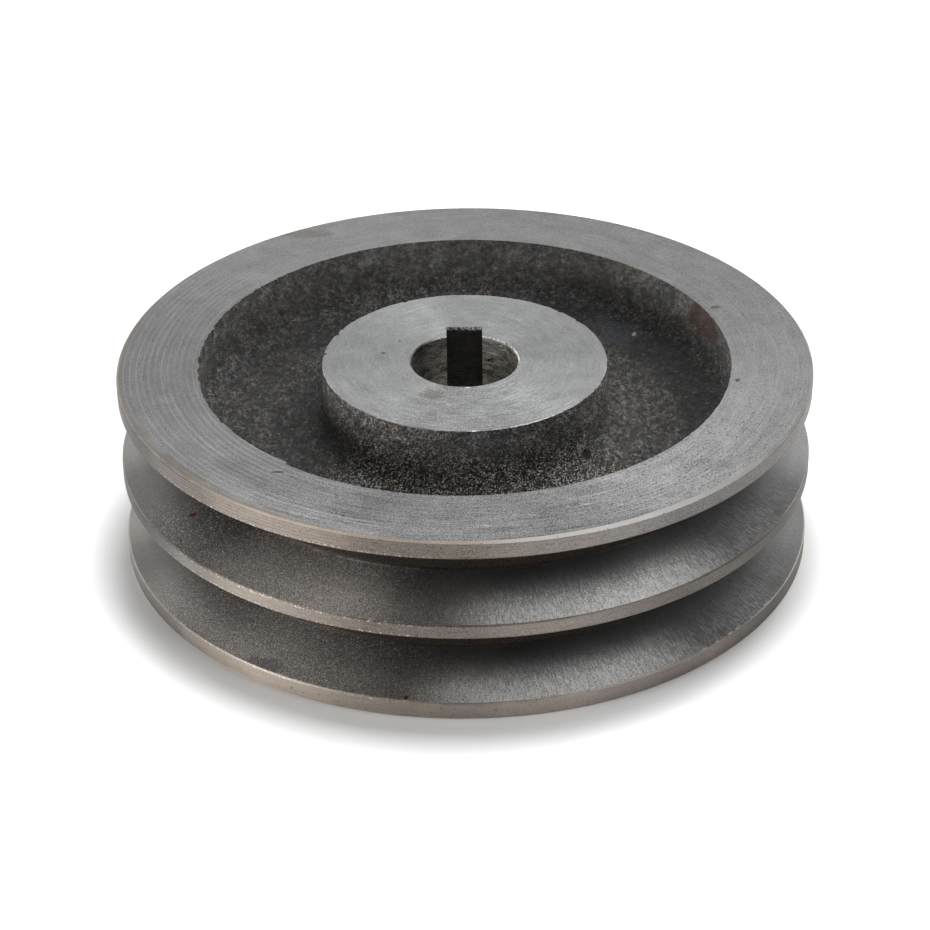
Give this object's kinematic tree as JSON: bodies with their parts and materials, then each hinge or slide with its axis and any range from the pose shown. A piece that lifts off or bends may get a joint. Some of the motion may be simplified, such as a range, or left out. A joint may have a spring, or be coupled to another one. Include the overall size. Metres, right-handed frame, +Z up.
{
  "type": "v-belt pulley",
  "caption": "Cast-iron V-belt pulley with belt grooves side by side on its rim, a recessed web on both sides and a central hub with a keyed bore.",
  "frame": {"origin": "centre of the lower rim face, on the bore's axis", "axes": "+Z up along the bore's axis, +Y towards the keyway"},
  "size_m": [0.155, 0.155, 0.0435],
  "materials": {
    "cast_iron": "turned bare on rim, grooves, faces and bore, as cast in the recesses"
  },
  "bodies": {
    "root": {"pulley": "cast_iron"}
  },
  "joints": []
}
